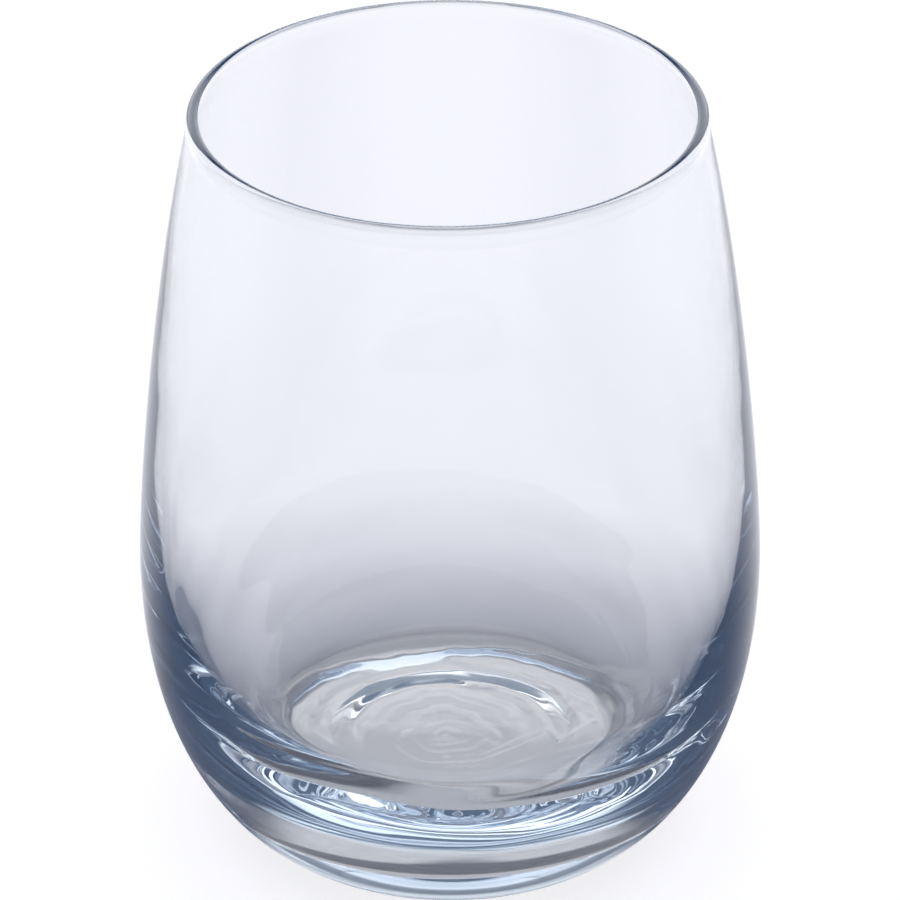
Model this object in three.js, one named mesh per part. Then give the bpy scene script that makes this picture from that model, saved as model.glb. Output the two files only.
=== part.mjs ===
// A clear stemless drinking glass: a barrel-shaped tumbler with a thick base and a rounded rim.
// Millimetres, +Z up. The origin is the centre of the ring that the glass stands on.
// The glass is divided on two level planes into its base, its bowl and its rim, which meet face to face.
import * as THREE from "three";

// Outside of the glass
const HEIGHT = 100; // table to the top of the rim
const FOOT_RADIUS = 26.6; // outer edge of the flat ring that the glass stands on
const FOOT_EDGE = 1.38; // radius of the rounded edge round that ring
const HEEL_RISE = THREE.MathUtils.degToRad(35.4); // how steeply the outside leaves the rounded edge
const BELLY_RADIUS = 40.15; // the widest place
const BELLY_HEIGHT = 35.7; // how high the widest place is
const RIM_RADIUS = 31.9; // outside of the wall where its top starts to round over
const RIM_LEAN = THREE.MathUtils.degToRad(13.5); // how far the wall leans in at the rim

// How far the outside keeps its direction at each end of its two curves
const HEEL_REACH = 8.17; // along the heel, above the rounded edge
const BELLY_REACH_DOWN = 18.62; // upright, below the belly
const BELLY_REACH_UP = 10.5; // upright, above the belly
const RIM_REACH = 21.5; // along the leaning wall, below the rim

// Thickness of the glass
const RIM_WALL = 1.15;
const BELLY_WALL = 2.4; // at the widest place of the inside
const FLOOR_THICKNESS = 6.9; // table to the floor of the cup

// Inside of the cup
const INSIDE_BELLY_HEIGHT = 41; // how high the widest place of the inside is
const FLOOR_RADIUS = 24.5; // the level floor, out to its crease
const CORNER_RISE = THREE.MathUtils.degToRad(50); // how steeply the inside leaves that crease
const CORNER_REACH = 10.6; // along the slope, above the crease
const INSIDE_REACH_DOWN = 19.3; // upright, below the inside's widest place
const INSIDE_REACH_UP = 12; // upright, above the inside's widest place
const INSIDE_RIM_REACH = 20; // along the leaning wall, below the rim

// Underside
const FOOT_WIDTH = 2.6; // width of the flat ring
const HOLLOW_RADIUS = 17.4; // edge of the round hollow in the middle
const HOLLOW_LIFT = 0.25; // how high that edge stands off the table
const HOLLOW_WALL = 3.2; // width of the sloping wall inside that edge
const HOLLOW_WALL_RISE = 0.89; // how far that wall rises inwards
const HOLLOW_CROWN = 0.18; // how much higher the middle is than the top of that wall

// Where the glass is divided
const BASE_LIP = 4.5; // how far the base stands up round the floor
const RIM_DEPTH = 2.4; // height of the rounded rim

// Fineness of the facets
const AROUND = 64;
const HOLLOW_FACETS = 4;
const SLOPE_FACETS = 3;
const EDGE_FACETS = 3;
const HEEL_FACETS = 6;
const CORNER_FACETS = 3;
const LOWER_WALL_FACETS = 6;
const UPPER_WALL_FACETS = 8;
const RIM_WALL_FACETS = 2;
const RIM_TOP_FACETS = 6;
const HALVINGS = 48;

const baseTop = FLOOR_THICKNESS + BASE_LIP;
const rimBottom = HEIGHT - RIM_DEPTH;
const rimTopRadius = RIM_WALL / 2;
const rimTopHeight = HEIGHT - rimTopRadius;
const insideBellyRadius = BELLY_RADIUS - BELLY_WALL;
const insideRimRadius = RIM_RADIUS - RIM_WALL;
const heelStartRadius = FOOT_RADIUS + FOOT_EDGE * Math.sin(HEEL_RISE);
const heelStartHeight = FOOT_EDGE * (1 - Math.cos(HEEL_RISE));

function point(radius, height) {
  return new THREE.Vector2(radius, height);
}

// A curve that leaves its start at a slope and ends upright at the widest place.
function risingCurve(start, rise, slopeReach, end, uprightReach) {
  const along = point(Math.cos(rise), Math.sin(rise)).multiplyScalar(slopeReach);
  const uprightHandle = point(end.x, end.y - uprightReach);
  return new THREE.CubicBezierCurve(start, start.clone().add(along), uprightHandle, end);
}

// A curve that leaves the widest place upright and leans in to the rim.
function closingCurve(start, uprightReach, end, leaningReach) {
  const uprightHandle = point(start.x, start.y + uprightReach);
  const back = point(Math.sin(RIM_LEAN), -Math.cos(RIM_LEAN)).multiplyScalar(leaningReach);
  return new THREE.CubicBezierCurve(start, uprightHandle, end.clone().add(back), end);
}

const heelStart = point(heelStartRadius, heelStartHeight);
const floorEdge = point(FLOOR_RADIUS, FLOOR_THICKNESS);
const belly = point(BELLY_RADIUS, BELLY_HEIGHT);
const insideBelly = point(insideBellyRadius, INSIDE_BELLY_HEIGHT);
const rimOutside = point(RIM_RADIUS, rimTopHeight);
const rimInside = point(insideRimRadius, rimTopHeight);

const outsideBelow = risingCurve(heelStart, HEEL_RISE, HEEL_REACH, belly, BELLY_REACH_DOWN);
const outsideAbove = closingCurve(belly, BELLY_REACH_UP, rimOutside, RIM_REACH);
const insideBelow = risingCurve(floorEdge, CORNER_RISE, CORNER_REACH, insideBelly, INSIDE_REACH_DOWN);
const insideAbove = closingCurve(insideBelly, INSIDE_REACH_UP, rimInside, INSIDE_RIM_REACH);

// The parameter at which a rising curve reaches a height, found by halving its range.
function parameterAt(curve, height) {
  let low = 0;
  let high = 1;
  for (let i = 0; i < HALVINGS; i++) {
    const middle = (low + high) / 2;
    if (curve.getPoint(middle).y < height) low = middle;
    else high = middle;
  }
  return (low + high) / 2;
}

// The stretch of a rising curve between two heights, from the lower end up.
function stretch(curve, fromHeight, toHeight, facets) {
  const from = parameterAt(curve, fromHeight);
  const to = parameterAt(curve, toHeight);
  const points = [];
  for (let i = 0; i <= facets; i++) {
    points.push(curve.getPoint(THREE.MathUtils.lerp(from, to, i / facets)));
  }
  points[0].y = fromHeight;
  points[facets].y = toHeight;
  return points;
}

// The shallow hollow under the base: part of a sphere, from the axis out to the top of its sloping wall.
function hollowUnderBase() {
  const wallTopRadius = HOLLOW_RADIUS - HOLLOW_WALL;
  const middleHeight = HOLLOW_LIFT + HOLLOW_WALL_RISE + HOLLOW_CROWN;
  const sphereRadius = (wallTopRadius ** 2 + HOLLOW_CROWN ** 2) / (2 * HOLLOW_CROWN);
  const points = [];
  for (let i = 0; i <= HOLLOW_FACETS; i++) {
    const radius = (wallTopRadius * i) / HOLLOW_FACETS;
    const drop = sphereRadius - Math.sqrt(sphereRadius ** 2 - radius ** 2);
    points.push(point(radius, middleHeight - drop));
  }
  return points;
}

// The faint slope from the edge of the hollow down to the inner edge of the flat ring.
function slopeToRing() {
  const ringRadius = FOOT_RADIUS - FOOT_WIDTH;
  const points = [];
  for (let i = 0; i <= SLOPE_FACETS; i++) {
    const share = i / SLOPE_FACETS;
    const radius = THREE.MathUtils.lerp(HOLLOW_RADIUS, ringRadius, share);
    points.push(point(radius, HOLLOW_LIFT * (1 - share) ** 2));
  }
  return points;
}

// The rounded edge of the foot: part of a circle from the flat ring to the start of the heel.
function roundedEdge() {
  const points = [];
  for (let i = 0; i < EDGE_FACETS; i++) {
    const angle = (HEEL_RISE * i) / EDGE_FACETS;
    const radius = FOOT_RADIUS + FOOT_EDGE * Math.sin(angle);
    points.push(point(radius, FOOT_EDGE * (1 - Math.cos(angle))));
  }
  return points;
}

// The rounded top of the rim: half a circle from the outside of the wall over to the inside.
function rimTop() {
  const middle = RIM_RADIUS - rimTopRadius;
  const points = [];
  for (let i = 1; i < RIM_TOP_FACETS; i++) {
    const angle = (Math.PI * i) / RIM_TOP_FACETS;
    const radius = middle + rimTopRadius * Math.cos(angle);
    points.push(point(radius, rimTopHeight + rimTopRadius * Math.sin(angle)));
  }
  return points;
}

// Two stretches that meet end to end, with their shared point kept once.
function joined(lower, upper) {
  return [...lower, ...upper.slice(1)];
}

// An outline that closes on itself, for a ring.
function closed(points) {
  return [...points, points[0].clone()];
}

function baseOutline() {
  const underside = [...hollowUnderBase(), ...slopeToRing(), ...roundedEdge()];
  const heel = stretch(outsideBelow, heelStartHeight, baseTop, HEEL_FACETS);
  const corner = stretch(insideBelow, FLOOR_THICKNESS, baseTop, CORNER_FACETS).reverse();
  return [...underside, ...heel, ...corner, point(0, FLOOR_THICKNESS)];
}

function bowlOutline() {
  const outside = joined(
    stretch(outsideBelow, baseTop, BELLY_HEIGHT, LOWER_WALL_FACETS),
    stretch(outsideAbove, BELLY_HEIGHT, rimBottom, UPPER_WALL_FACETS),
  );
  const inside = joined(
    stretch(insideBelow, baseTop, INSIDE_BELLY_HEIGHT, LOWER_WALL_FACETS),
    stretch(insideAbove, INSIDE_BELLY_HEIGHT, rimBottom, UPPER_WALL_FACETS),
  );
  return closed([...outside, ...inside.reverse()]);
}

function rimOutline() {
  const outside = stretch(outsideAbove, rimBottom, rimTopHeight, RIM_WALL_FACETS);
  const inside = stretch(insideAbove, rimBottom, rimTopHeight, RIM_WALL_FACETS);
  return closed([...outside, ...rimTop(), ...inside.reverse()]);
}

function clearGlass() {
  return new THREE.MeshStandardMaterial({
    color: 0xe4e8ef,
    roughness: 0.03,
    metalness: 0,
    transparent: true,
    opacity: 0.35,
  });
}

// One piece of the glass, turned round the upright axis.
function turned(name, outline) {
  const geometry = new THREE.LatheGeometry(outline, AROUND);
  geometry.rotateX(Math.PI / 2);
  const mesh = new THREE.Mesh(geometry, clearGlass());
  mesh.name = name;
  return mesh;
}

const glass = new THREE.Group();
glass.add(turned("base", baseOutline()));
glass.add(turned("bowl", bowlOutline()));
glass.add(turned("rim", rimOutline()));

export default glass;
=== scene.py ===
import math
import bpy
import numpy as np
from mathutils import Matrix


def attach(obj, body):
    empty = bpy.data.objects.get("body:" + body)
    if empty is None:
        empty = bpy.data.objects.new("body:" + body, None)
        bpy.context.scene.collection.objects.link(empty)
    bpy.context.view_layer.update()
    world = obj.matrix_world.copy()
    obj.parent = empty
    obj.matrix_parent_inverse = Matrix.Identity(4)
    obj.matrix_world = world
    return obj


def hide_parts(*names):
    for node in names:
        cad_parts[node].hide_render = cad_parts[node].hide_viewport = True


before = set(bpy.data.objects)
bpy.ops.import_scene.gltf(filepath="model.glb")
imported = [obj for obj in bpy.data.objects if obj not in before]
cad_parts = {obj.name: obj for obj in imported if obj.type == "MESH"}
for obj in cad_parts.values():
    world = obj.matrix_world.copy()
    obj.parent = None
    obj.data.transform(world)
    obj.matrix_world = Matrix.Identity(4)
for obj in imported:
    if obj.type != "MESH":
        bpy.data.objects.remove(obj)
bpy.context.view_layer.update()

# The tumbler is one piece of clear glass, blown into a smooth mould and fire polished at the rim.
# Its wall thins from a heavy base up to the rim, and the inside keeps the uneven skin of the blowing.
# It stands on a narrow ring under the base, round a shallow hollow with a sloping wall.
HEIGHT = 0.100
FOOT_RADIUS = 0.0266
FOOT_EDGE = 0.00138
HEEL_RISE = math.radians(35.4)
HEEL_REACH = 0.00817
BELLY_RADIUS = 0.04015
BELLY_HEIGHT = 0.0357
BELLY_REACH_DOWN = 0.01862
BELLY_REACH_UP = 0.0105
RIM_RADIUS = 0.0319
RIM_WALL = 0.00115
RIM_LEAN = math.radians(13.5)
RIM_REACH = 0.0215
RIM_BULGE = 0.00035
RIM_BULGE_HEIGHT = 0.0991
RIM_SWELL = 0.00006
RIM_SWELL_HEIGHT = 0.0988
RIM_BEAD_SPREAD = 0.0007
BELLY_WALL = 0.0024
INSIDE_BELLY_HEIGHT = 0.041
INSIDE_REACH_UP = 0.012
INSIDE_RIM_REACH = 0.020
INSIDE_REACH_DOWN = 0.0193
FLOOR_HEIGHT = 0.0069
FLOOR_RADIUS = 0.0245
FLOOR_ROUNDING = 0.0014
CORNER_RISE = math.radians(50.0)
CORNER_REACH = 0.0106
STAND_RADIUS = 0.024
HOLLOW_RADIUS = 0.0174
HOLLOW_LIFT = 0.00025
HOLLOW_WALL = 0.0032
HOLLOW_WALL_RISE = 0.00089
HOLLOW_CROWN = 0.00018

# Points round the glass and along the stretches of its outline, with the wall's closest together near the rim
AROUND = 320
HOLLOW_POINTS = 14
SLOPE_POINTS = 9
RING_POINTS = 4
EDGE_POINTS = 8
HEEL_POINTS = 27
BEAD_POINTS = 13
CORNER_POINTS = 9
FLOOR_POINTS = 95
WALL_STEPS = 240
WALL_STEPS_AT_RIM = 24
COARSE_STEP = 12
FINE_STEP = 2
LOWER_STEPS = 200
LOWER_STEP = 4


def cubic_curve(start, start_handle, end_handle, end, count):
    """Points on a cubic curve in radius and height.

    The two ends and their handles are weighted by (1-t)^3, 3t(1-t)^2, 3t^2(1-t) and t^3, for t from 0 to 1.
    """
    t = np.linspace(0.0, 1.0, count)[:, None]
    corners = np.array([start, start_handle, end_handle, end])
    weights = np.hstack([(1 - t) ** 3, 3 * t * (1 - t) ** 2, 3 * t**2 * (1 - t), t**3])
    return weights @ corners


def underside_outline():
    """The underside in radius and height, from the axis out to the top of the foot's rounded edge.

    A part of a sphere, a cone round it, a slope of (1-t)^2 down to the level ring, and a part of a circle.
    """
    wall_top = HOLLOW_RADIUS - HOLLOW_WALL
    sphere = (wall_top**2 + HOLLOW_CROWN**2) / (2 * HOLLOW_CROWN)
    middle = HOLLOW_LIFT + HOLLOW_WALL_RISE + HOLLOW_CROWN
    radius = np.linspace(0.0, wall_top, HOLLOW_POINTS)
    dome = np.column_stack([radius, middle - sphere + np.sqrt(sphere**2 - radius**2)])
    t = np.linspace(0.0, 1.0, HOLLOW_POINTS)
    wall = np.column_stack([wall_top + HOLLOW_WALL * t, HOLLOW_LIFT + HOLLOW_WALL_RISE * (1 - t)])
    t = np.linspace(0.0, 1.0, SLOPE_POINTS)
    slope_radius = HOLLOW_RADIUS + (STAND_RADIUS - HOLLOW_RADIUS) * t
    slope = np.column_stack([slope_radius, HOLLOW_LIFT * (1 - t) ** 2])
    ring = np.column_stack([np.linspace(STAND_RADIUS, FOOT_RADIUS, RING_POINTS), np.zeros(RING_POINTS)])
    angle = np.linspace(0.0, HEEL_RISE, EDGE_POINTS)
    edge = np.column_stack([FOOT_RADIUS + FOOT_EDGE * np.sin(angle), FOOT_EDGE * (1 - np.cos(angle))])
    return np.vstack([dome, wall[1:], slope[1:], ring[1:], edge[1:]])


def outside_outline():
    """The outside in radius and height, from the axis under the base to the inner edge of the rim.

    The underside, two cubic curves that meet upright at the belly, and half a circle over the rim, where a
    bulge of exp(-(z/w)^2) is added.
    """
    underside = underside_outline()
    foot = underside[-1]
    heel_way = np.array([math.cos(HEEL_RISE), math.sin(HEEL_RISE)])
    rim_way = np.array([math.sin(RIM_LEAN), -math.cos(RIM_LEAN)])
    belly = np.array([BELLY_RADIUS, BELLY_HEIGHT])
    rim = np.array([RIM_RADIUS, HEIGHT - RIM_WALL / 2])
    heel = cubic_curve(foot, foot + HEEL_REACH * heel_way, belly - (0, BELLY_REACH_DOWN), belly, HEEL_POINTS)
    shoulder = cubic_curve(belly, belly + (0, BELLY_REACH_UP), rim + RIM_REACH * rim_way, rim, WALL_STEPS)
    near_rim = WALL_STEPS - WALL_STEPS_AT_RIM
    shoulder = shoulder[np.r_[0:near_rim:COARSE_STEP, near_rim:WALL_STEPS:FINE_STEP, WALL_STEPS - 1]]
    angle = np.linspace(0.0, math.pi, BEAD_POINTS)
    bead = rim - (RIM_WALL / 2, 0) + RIM_WALL / 2 * np.column_stack([np.cos(angle), np.sin(angle)])
    outline = np.vstack([underside, heel[1:], shoulder[1:], bead[1:]])
    outward = np.clip((outline[:, 0] - RIM_RADIUS + RIM_WALL) / RIM_WALL, 0.0, 1.0)
    off_bulge = (outline[:, 1] - RIM_BULGE_HEIGHT) / RIM_BEAD_SPREAD
    outline[:, 0] += RIM_BULGE * outward * np.exp(-(off_bulge**2))
    return outline


def inside_outline():
    """The inside in radius and height, from the inner edge of the rim down to the axis on the floor.

    Two cubic curves that meet upright at the inside's widest place, a rounded corner of (1-t)^2, 2t(1-t) and
    t^2, and the level floor.
    """
    rim_way = np.array([math.sin(RIM_LEAN), -math.cos(RIM_LEAN)])
    corner_way = np.array([math.cos(CORNER_RISE), math.sin(CORNER_RISE)])
    rim = np.array([RIM_RADIUS - RIM_WALL, HEIGHT - RIM_WALL / 2])
    belly = np.array([BELLY_RADIUS - BELLY_WALL, INSIDE_BELLY_HEIGHT])
    crease = np.array([FLOOR_RADIUS, FLOOR_HEIGHT])
    over_belly = belly + (0, INSIDE_REACH_UP)
    upper = cubic_curve(rim, rim + INSIDE_RIM_REACH * rim_way, over_belly, belly, WALL_STEPS)
    past_rim = WALL_STEPS_AT_RIM
    upper = upper[np.r_[0:past_rim:FINE_STEP, past_rim:WALL_STEPS:COARSE_STEP, WALL_STEPS - 1]]
    over_crease = crease + CORNER_REACH * corner_way
    lower = cubic_curve(belly, belly - (0, INSIDE_REACH_DOWN), over_crease, crease, LOWER_STEPS)
    lower = lower[np.hypot(*(lower - crease).T) > FLOOR_ROUNDING][::LOWER_STEP]
    t = np.linspace(0.0, 1.0, CORNER_POINTS)[:, None]
    start = crease + FLOOR_ROUNDING * corner_way
    end = crease - (FLOOR_ROUNDING, 0)
    rounding = (1 - t) ** 2 * start + 2 * t * (1 - t) * crease + t**2 * end
    floor_radius = np.linspace(end[0], 0.0, FLOOR_POINTS)
    floor = np.column_stack([floor_radius, np.full(FLOOR_POINTS, FLOOR_HEIGHT)])
    return np.vstack([upper[1:], lower[1:], rounding, floor[1:]])


# The crease round the floor: its mean radius, its first five waves round the glass, its finer flutter, how
# far round the back it goes, and its height and width. Flutter, wander and slant have height, count and start.
CREASE_RADIUS = 0.02337
CREASE_COSINES = np.array([0.00099, 0.00218, -0.00014, 0.00037, 0.00032])
CREASE_SINES = np.array([-0.00341, 0.00008, -0.00029, 0.00003, -0.00004])
CREASE_FLUTTER = ((0.00014, 17, 0.0), (0.00010, 29, 1.0))
CREASE_BACK_START = -0.5
CREASE_BACK_FADE = 0.45
CREASE_HEIGHT = 0.00060
CREASE_HEIGHT_AT_SIDES = 0.0005
CREASE_STEP = 0.00010
CREASE_WIDTH = 0.0012
CREASE_WIDTH_WAVES = ((0.0003, 3, 1.0),)
CREASE_INNER_EDGE = 0.0008

# The ripples within the crease: their middle, and the height and length of each of the two sets
RIPPLE_MIDDLE = (-0.0008, -0.004)
RIPPLE_START = 0.006
RIPPLE_WANDER = ((0.0007, 2, 0.7), (0.0004, 5, 2.1), (0.0002, 11, 0.0))
SHORT_RIPPLE = 0.000030
SHORT_RIPPLE_LENGTH = 0.00043
LONG_RIPPLE = 0.000060
LONG_RIPPLE_LENGTH = 0.00078
LONG_RIPPLE_START = 1.0

# The drawn marks on the floor, each with its height, start, end and width, and the patch of seed bubbles
MARKS = (
    (0.00018, (0.0138, -0.0040), (0.0151, -0.0070), 0.0005),
    (0.00018, (0.0151, -0.0070), (0.0205, -0.0019), 0.0005),
    (0.00012, (0.0037, -0.0107), (0.0121, -0.0040), 0.0004),
    (0.00010, (0.0055, -0.0112), (0.0132, -0.0050), 0.0004),
    (-0.00020, (-0.0166, -0.0062), (-0.0111, -0.0159), 0.0015),
)
SEED = 0.00010
SEED_PATCH = ((-0.0005, -0.0143), (0.0045, -0.0143), 0.0013)
SEED_LENGTH_X = 0.00028
SEED_LENGTH_Y = 0.00033
SEED_WANDER = 1.5
SEED_WANDER_LENGTH = 0.0006

# The unevenness of the wall: where it ends at the floor, and the height and length of its waves
FLOOR_SKIN_TOP = 0.0125
FLOOR_SKIN_FADE = 0.0045
FULLER_WALL = 0.0006
FULLER_MIDDLE = 0.018
FULLER_SPREAD = 0.009
WAVES_MIDDLE = 0.010
WAVES_SPREAD = 0.016
SHORT_WAVE = 0.000045
SHORT_WAVE_LENGTH = 0.0011
SHORT_WAVE_SLANT = ((-4.5, 1, 0.0), (0.8, 7, 0.0))
LONG_WAVE = 0.000065
LONG_WAVE_LENGTH = 0.0021
LONG_WAVE_SLANT = ((-3.0, 1, 0.0), (1.1, 4, 1.9))
SWELL = 0.000012
SWELL_LENGTH = 0.0026
SWELL_SLANT = ((1.6, 3, 0.5), (2.2, 1, 0.0))
RIM_FADE = 0.02


def stroke(x, y, start, end, width):
    """A drawn mark: exp(-(d/w)^2) for its width w and the distance d to the line from start to end."""
    way = np.subtract(end, start)
    share = np.clip(((x - start[0]) * way[0] + (y - start[1]) * way[1]) / (way @ way), 0.0, 1.0)
    off = np.hypot(x - start[0] - share * way[0], y - start[1] - share * way[1])
    return np.exp(-((off / width) ** 2))


def waves_round(angle, waves):
    """The sum of h sin(n a + s) over waves round the glass, each with its height h, count n and start s."""
    return sum(height * np.sin(count * angle + start) for height, count, start in waves)


def floor_skin(radius, angle):
    """How far the floor stands up from its level, by radius and angle.

    The sum of a crease that winds round the back as exp(-(d/w)^2) and a small step tanh(d/w), two sets of
    sine ripples in rings within it, the drawn marks, and a patch of seed bubbles as a product of sines.
    """
    x = radius * np.cos(angle)
    y = radius * np.sin(angle)
    turns = np.arange(1, len(CREASE_COSINES) + 1)[:, None] * angle
    crease_radius = CREASE_RADIUS + CREASE_COSINES @ np.cos(turns) + CREASE_SINES @ np.sin(turns)
    past = radius - crease_radius - waves_round(angle, CREASE_FLUTTER)
    at_back = np.clip((np.sin(angle) - CREASE_BACK_START) / CREASE_BACK_FADE, 0.0, 1.0)
    fold_width = CREASE_WIDTH + waves_round(angle, CREASE_WIDTH_WAVES)
    fold_height = CREASE_HEIGHT + CREASE_HEIGHT_AT_SIDES * np.cos(angle) ** 2
    fold = fold_height * np.exp(-((past / fold_width) ** 2))
    crease = at_back * (fold + CREASE_STEP * np.tanh(past / CREASE_WIDTH))
    within = 1 / (1 + np.exp(past / CREASE_INNER_EDGE))
    ring = np.hypot(x - RIPPLE_MIDDLE[0], y - RIPPLE_MIDDLE[1])
    ring = ring + np.clip(radius / RIPPLE_START, 0.0, 1.0) * waves_round(angle, RIPPLE_WANDER)
    short_ripples = SHORT_RIPPLE * np.sin(ring / SHORT_RIPPLE_LENGTH)
    long_ripples = LONG_RIPPLE * np.sin(ring / LONG_RIPPLE_LENGTH + LONG_RIPPLE_START)
    ripples = within * (short_ripples + long_ripples)
    marks = sum(height * stroke(x, y, start, end, width) for height, start, end, width in MARKS)
    seeds = SEED * stroke(x, y, *SEED_PATCH) * np.sin(y / SEED_LENGTH_Y)
    seeds = seeds * np.sin(x / SEED_LENGTH_X + SEED_WANDER * np.sin(y / SEED_WANDER_LENGTH))
    return crease + ripples + marks + seeds


def wall_skin(height, angle):
    """How far the wall stands into the cup from its even outline, by height and angle.

    The sum of a wall that is fuller on the left by 1 - cos a, two sets of sine waves that slant down towards
    the front, and a faint swell all the way up. The first two fade with height as exp(-(z/w)^2).
    """
    fuller = FULLER_WALL * np.exp(-(((height - FULLER_MIDDLE) / FULLER_SPREAD) ** 2)) * (1 - np.cos(angle))
    short_waves = SHORT_WAVE * np.sin(height / SHORT_WAVE_LENGTH + waves_round(angle, SHORT_WAVE_SLANT))
    long_waves = LONG_WAVE * np.sin(height / LONG_WAVE_LENGTH + waves_round(angle, LONG_WAVE_SLANT))
    waves = (short_waves + long_waves) * np.exp(-(((height - WAVES_MIDDLE) / WAVES_SPREAD) ** 2))
    swell = SWELL * np.sin(height / SWELL_LENGTH + waves_round(angle, SWELL_SLANT))
    return fuller + waves + swell


def blown_skin(radius, height, angle):
    """How far the inside stands into the cup from the even outline, by radius, height and angle.

    The floor's skin passes in a straight line of height into the wall's, which fades out below the rim, where
    a bead of exp(-(z/w)^2) is added.
    """
    on_floor = np.clip((FLOOR_SKIN_TOP - height) / FLOOR_SKIN_FADE, 0.0, 1.0)
    skin = on_floor * floor_skin(radius, angle) + (1 - on_floor) * wall_skin(height, angle)
    skin = skin * np.clip((HEIGHT - height) / RIM_FADE, 0.0, 1.0)
    return skin + RIM_SWELL * np.exp(-(((height - RIM_SWELL_HEIGHT) / RIM_BEAD_SPREAD) ** 2))


def turned_glass(name):
    """A closed mesh of both outlines turned round the upright axis: x = r cos a, y = r sin a, z = height.

    The inside is moved along its own normal by the blown skin. The first and last points lie on the axis and
    close the mesh as poles.
    """
    outside = outside_outline()
    inside = inside_outline()
    outline = np.concatenate([outside, inside])
    angle = np.arange(AROUND) * (2 * math.pi / AROUND)
    radius = np.repeat(outline[:, :1], AROUND, axis=1)
    height = np.repeat(outline[:, 1:], AROUND, axis=1)
    way = np.gradient(inside, axis=0)
    way = way / np.hypot(way[:, 0], way[:, 1])[:, None]
    skin = blown_skin(radius[len(outside):], height[len(outside):], angle)
    radius[len(outside):] += way[:, 1:] * skin
    height[len(outside):] -= way[:, :1] * skin
    points = np.stack([radius * np.cos(angle), radius * np.sin(angle), height], axis=-1)
    rows = points[1:-1]
    vertices = np.vstack([rows.reshape(-1, 3), points[0, :1], points[-1, :1]])
    here = np.arange(len(rows) * AROUND).reshape(len(rows), AROUND)
    beside = np.roll(here, -1, axis=1)
    quads = np.stack([here[:-1], beside[:-1], beside[1:], here[1:]], axis=-1).reshape(-1, 4)
    under = np.column_stack([np.full(AROUND, len(vertices) - 2), beside[0], here[0]])
    over = np.column_stack([here[-1], beside[-1], np.full(AROUND, len(vertices) - 1)])
    mesh = bpy.data.meshes.new(name)
    mesh.from_pydata(vertices.tolist(), [], quads.tolist() + under.tolist() + over.tolist())
    mesh.polygons.foreach_set("use_smooth", np.ones(len(mesh.polygons), dtype=bool))
    mesh.update()
    piece = bpy.data.objects.new(name, mesh)
    bpy.context.collection.objects.link(piece)
    return piece


tumbler = turned_glass("tumbler")

GLASS_INDEX = 1.52
GLASS_TINT = (0.17, 0.375, 0.60, 1.0)
GLASS_TINT_DENSITY = 9.0
GRAIN_SCALE = 70.0
GRAIN_DETAIL = 2.0
GRAIN_DEPTH = 0.00002
DULLEST_POLISH = 0.012
clear_glass = bpy.data.materials.new("clear_glass")
clear_glass.use_nodes = True
nodes = clear_glass.node_tree.nodes
links = clear_glass.node_tree.links
surface = nodes["Principled BSDF"]
surface.inputs["Base Color"].default_value = (1.0, 1.0, 1.0, 1.0)
surface.inputs["IOR"].default_value = GLASS_INDEX
surface.inputs["Transmission Weight"].default_value = 1.0
place = nodes.new("ShaderNodeTexCoord")
grain = nodes.new("ShaderNodeTexNoise")
grain.inputs["Scale"].default_value = GRAIN_SCALE
grain.inputs["Detail"].default_value = GRAIN_DETAIL
links.new(place.outputs["Object"], grain.inputs["Vector"])
polish = nodes.new("ShaderNodeMapRange")
polish.inputs["To Min"].default_value = 0.0
polish.inputs["To Max"].default_value = DULLEST_POLISH
links.new(grain.outputs["Fac"], polish.inputs["Value"])
links.new(polish.outputs["Result"], surface.inputs["Roughness"])
skin_bump = nodes.new("ShaderNodeBump")
skin_bump.inputs["Strength"].default_value = 1.0
skin_bump.inputs["Distance"].default_value = GRAIN_DEPTH
links.new(grain.outputs["Fac"], skin_bump.inputs["Height"])
links.new(skin_bump.outputs["Normal"], surface.inputs["Normal"])
depth = nodes.new("ShaderNodeVolumeAbsorption")
depth.inputs["Color"].default_value = GLASS_TINT
depth.inputs["Density"].default_value = GLASS_TINT_DENSITY
links.new(depth.outputs["Volume"], nodes["Material Output"].inputs["Volume"])
tumbler.data.materials.append(clear_glass)
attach(tumbler, "root")
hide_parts("base", "bowl", "rim")

# The table is a wide white board with matt paint, just under the glass.
# The camera sees it white. Through the glass it shows painted shade and painted light round the foot, as a
# glow by
# distance: painted light under the base, then a dim painted shade ring that brightens outwards, soonest in
# front and last at the sides.
BOARD_HALF = 3.0
BOARD_DROP = 0.0001
BOARD_COLOR = (0.45, 0.45, 0.53, 1.0)
BOARD_GLOW_COLOR = (1.0, 0.985, 0.975, 1.0)
BOARD_WHITE = 0.78
SHADE_MIDDLE = (0.0, -0.0013, 0.0)
SHADE_REACH = 0.150
SHADE_EDGE_UNDER_GLASS = 0.0246
# Painted shade and painted light on the board by distance from the foot: lit under the base, a dim painted
# shade ring beyond, dimmer at the sides, brightening far out
PAINTED_SHADE_BY_DISTANCE = (
    (0.0, 0.36), (0.0236, 0.36), (0.0246, 0.01), (0.030, 0.05), (0.036, 0.13),
    (0.046, 0.27), (0.055, 0.45), (0.068, 0.62), (0.150, 0.67),
)
PAINTED_SIDE_SHADE = 0.05
SIDES_END = (0.05, 0.75)
PAINTED_FAR_LIGHT_STARTS = (0.085, 0.125)
# Painted light on the board just outside the foot, in front
PAINTED_FRONT_LIGHT = 0.50
FRONT_STARTS = (-0.35, -0.75)
PAINTED_FRONT_LIGHT_STARTS = (0.0266, 0.0272)


def smooth_share(tree, value, start, end, low=0.0, high=1.0):
    """A map range node: 3s^2 - 2s^3 of the share s from start to end, taken from low to high."""
    share = tree.nodes.new("ShaderNodeMapRange")
    share.interpolation_type = "SMOOTHSTEP"
    share.inputs["From Min"].default_value = start
    share.inputs["From Max"].default_value = end
    share.inputs["To Min"].default_value = low
    share.inputs["To Max"].default_value = high
    tree.links.new(value, share.inputs["Value"])
    return share.outputs["Result"]


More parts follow.
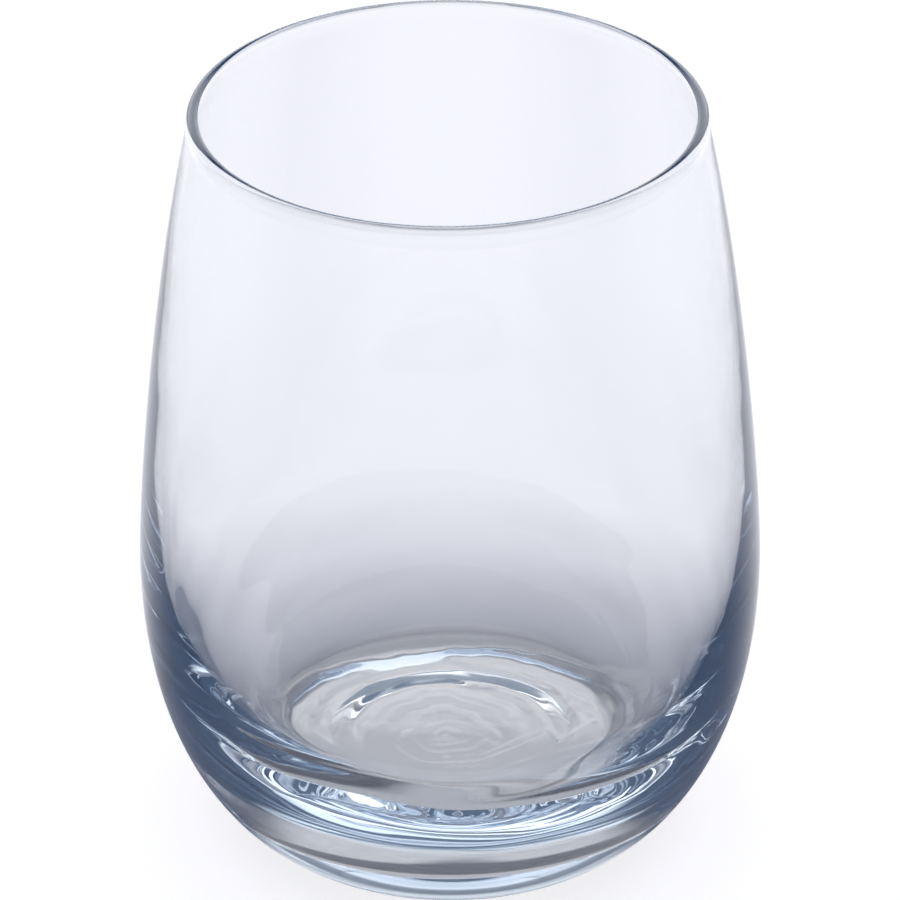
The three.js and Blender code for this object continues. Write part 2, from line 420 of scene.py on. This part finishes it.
def math_result(tree, operation, *terms):
    """A math node: one operation on its terms in order, each a plain number or another node's output."""
    node = tree.nodes.new("ShaderNodeMath")
    node.operation = operation
    for socket, term in zip(node.inputs, terms):
        if isinstance(term, float):
            socket.default_value = term
        else:
            tree.links.new(term, socket)
    return node.outputs["Value"]


def color_steps(tree, value, stops):
    """A colour ramp node: straight lines between stops, each a position from 0 to 1 and a colour."""
    ramp = tree.nodes.new("ShaderNodeValToRGB")
    ramp.color_ramp.elements[0].color = stops[0][1]
    ramp.color_ramp.elements[1].color = stops[-1][1]
    for position, color in stops[1:-1]:
        ramp.color_ramp.elements.new(position).color = color
    tree.links.new(value, ramp.inputs["Fac"])
    return ramp.outputs["Color"]


def direction_parts(tree, vector):
    """The unit vector along a vector, parted into its X, Y and Z."""
    unit = tree.nodes.new("ShaderNodeVectorMath")
    unit.operation = "NORMALIZE"
    tree.links.new(vector, unit.inputs[0])
    parts = tree.nodes.new("ShaderNodeSeparateXYZ")
    tree.links.new(unit.outputs["Vector"], parts.inputs["Vector"])
    return parts.outputs


board_mesh = bpy.data.meshes.new("white_board")
board_mesh.from_pydata(
    [(-BOARD_HALF, -BOARD_HALF, -BOARD_DROP), (BOARD_HALF, -BOARD_HALF, -BOARD_DROP),
     (BOARD_HALF, BOARD_HALF, -BOARD_DROP), (-BOARD_HALF, BOARD_HALF, -BOARD_DROP)],
    [], [(0, 1, 2, 3)],
)
white_board = bpy.data.objects.new("white_board", board_mesh)
bpy.context.collection.objects.link(white_board)
board_paint = bpy.data.materials.new("board_paint")
board_paint.use_nodes = True
tree = board_paint.node_tree
paint = tree.nodes["Principled BSDF"]
paint.inputs["Base Color"].default_value = BOARD_COLOR
paint.inputs["Roughness"].default_value = 1.0
paint.inputs["Specular IOR Level"].default_value = 0.0
paint.inputs["Emission Color"].default_value = BOARD_GLOW_COLOR
place = tree.nodes.new("ShaderNodeTexCoord").outputs["Object"]
from_middle = tree.nodes.new("ShaderNodeVectorMath")
from_middle.operation = "DISTANCE"
from_middle.inputs[1].default_value = SHADE_MIDDLE
tree.links.new(place, from_middle.inputs[0])
distance = from_middle.outputs["Value"]
to_back = direction_parts(tree, place)["Y"]
# Painted shade rings and painted light on the board, kept dim at the sides near the foot
painted_shade_rings = color_steps(tree, math_result(tree, "DIVIDE", distance, SHADE_REACH), [
    (radius / SHADE_REACH, (glow, glow, glow, 1.0)) for radius, glow in PAINTED_SHADE_BY_DISTANCE
])
front_and_back = smooth_share(tree, math_result(tree, "ABSOLUTE", to_back), *SIDES_END, low=PAINTED_SIDE_SHADE)
far_out = smooth_share(tree, distance, *PAINTED_FAR_LIGHT_STARTS)
under_glass = math_result(tree, "LESS_THAN", distance, SHADE_EDGE_UNDER_GLASS)
painted_light_share = math_result(tree, "MAXIMUM", under_glass, math_result(tree, "MAXIMUM", front_and_back, far_out))
# Painted light in front of the foot, laid over the painted shade rings
in_front = smooth_share(tree, to_back, *FRONT_STARTS, high=PAINTED_FRONT_LIGHT)
painted_front_light = math_result(tree, "MULTIPLY", in_front, smooth_share(tree, distance, *PAINTED_FRONT_LIGHT_STARTS))
painted_light_and_shade = math_result(tree, "MAXIMUM", math_result(tree, "MULTIPLY", painted_shade_rings, painted_light_share), painted_front_light)
# The painted shade and painted light show only to glass rays; camera rays get an even white glow
seen_by = tree.nodes.new("ShaderNodeLightPath").outputs
by_glass = math_result(tree, "MAXIMUM", seen_by["Is Glossy Ray"], seen_by["Is Transmission Ray"])
painted_shade_for_glass = math_result(tree, "MULTIPLY", by_glass, painted_light_and_shade)
white = math_result(tree, "MULTIPLY_ADD", seen_by["Is Camera Ray"], BOARD_WHITE, painted_shade_for_glass)
tree.links.new(white, paint.inputs["Emission Strength"])
board_paint.cycles.emission_sampling = "NONE"
board_mesh.materials.append(board_paint)

# The room is a dark slate studio with a lit white backdrop behind the glass and a broad soft light overhead.
# Its colours go by the height of the direction, from level at 0 to straight up at 1.
# Beyond the table the camera sees white.
ROOM_LIGHT = 2.0
BACKDROP_EDGE = (0.55, 0.85)
SLATE = (0.06, 0.09, 0.13, 1.0)
SOFT_LIGHT = (0.72, 0.72, 0.72, 1.0)
CEILING = (0.50, 0.52, 0.55, 1.0)
DARK_SIDE = (
    (0.0, (0.016, 0.032, 0.056, 1.0)), (0.55, (0.020, 0.044, 0.080, 1.0)), (0.78, (0.060, 0.095, 0.145, 1.0)),
    (0.88, SOFT_LIGHT), (0.95, SOFT_LIGHT), (1.0, CEILING),
)
LIT_SIDE = (
    (0.0, (1.0, 1.0, 1.0, 1.0)), (0.49, (0.95, 0.95, 0.95, 1.0)), (0.57, SLATE), (0.78, SLATE),
    (0.88, SOFT_LIGHT), (0.95, SOFT_LIGHT), (1.0, CEILING),
)
room = bpy.data.worlds.new("room")
bpy.context.scene.world = room
room.use_nodes = True
tree = room.node_tree
parts = tree.nodes.new("ShaderNodeSeparateXYZ")
tree.links.new(tree.nodes.new("ShaderNodeTexCoord").outputs["Generated"], parts.inputs["Vector"])
level = tree.nodes.new("ShaderNodeCombineXYZ")
tree.links.new(parts.outputs["X"], level.inputs["X"])
tree.links.new(parts.outputs["Y"], level.inputs["Y"])
behind = smooth_share(tree, direction_parts(tree, level.outputs["Vector"])["Y"], *BACKDROP_EDGE)
both = tree.nodes.new("ShaderNodeMix")
both.data_type = "RGBA"
tree.links.new(behind, both.inputs["Factor"])
tree.links.new(color_steps(tree, parts.outputs["Z"], DARK_SIDE), both.inputs["A"])
tree.links.new(color_steps(tree, parts.outputs["Z"], LIT_SIDE), both.inputs["B"])
light = tree.nodes["Background"]
light.inputs["Strength"].default_value = ROOM_LIGHT
tree.links.new(both.outputs["Result"], light.inputs["Color"])
backdrop = tree.nodes.new("ShaderNodeBackground")
backdrop.inputs["Color"].default_value = (1.0, 1.0, 1.0, 1.0)
backdrop.inputs["Strength"].default_value = 1.0
either = tree.nodes.new("ShaderNodeMixShader")
tree.links.new(tree.nodes.new("ShaderNodeLightPath").outputs["Is Camera Ray"], either.inputs["Fac"])
tree.links.new(light.outputs["Background"], either.inputs[1])
tree.links.new(backdrop.outputs["Background"], either.inputs[2])
tree.links.new(either.outputs["Shader"], tree.nodes["World Output"].inputs["Surface"])

# The camera stands nearly two thirds of a metre from the glass and looks down on it, through a long lens.
# Light may pass many walls of the glass before it is given up.
CAMERA_DISTANCE = 0.630
CAMERA_PITCH = math.radians(30.232)
CAMERA_ROLL = math.radians(0.309)
AIM_HEIGHT = 0.05129
SENSOR_WIDTH = 36.0
IMAGE_WIDTH = 900
LENS_PIXELS = 4916.22
SHIFT_PIXELS = 0.506
NEAREST = 0.01
BOUNCES = 64
lens = bpy.data.cameras.new("camera")
lens.sensor_width = SENSOR_WIDTH
lens.lens = LENS_PIXELS / IMAGE_WIDTH * SENSOR_WIDTH
lens.shift_x = SHIFT_PIXELS / IMAGE_WIDTH
lens.clip_start = NEAREST
camera = bpy.data.objects.new("camera", lens)
bpy.context.collection.objects.link(camera)
camera.matrix_world = (
    Matrix.Translation((
        0.0,
        -CAMERA_DISTANCE * math.cos(CAMERA_PITCH),
        AIM_HEIGHT + CAMERA_DISTANCE * math.sin(CAMERA_PITCH),
    ))
    @ Matrix.Rotation(math.pi / 2 - CAMERA_PITCH, 4, "X")
    @ Matrix.Rotation(-CAMERA_ROLL, 4, "Z")
)
bpy.context.scene.camera = camera
bpy.context.scene.view_settings.view_transform = "Standard"
bpy.context.scene.cycles.max_bounces = BOUNCES
bpy.context.scene.cycles.glossy_bounces = BOUNCES
bpy.context.scene.cycles.transmission_bounces = BOUNCES
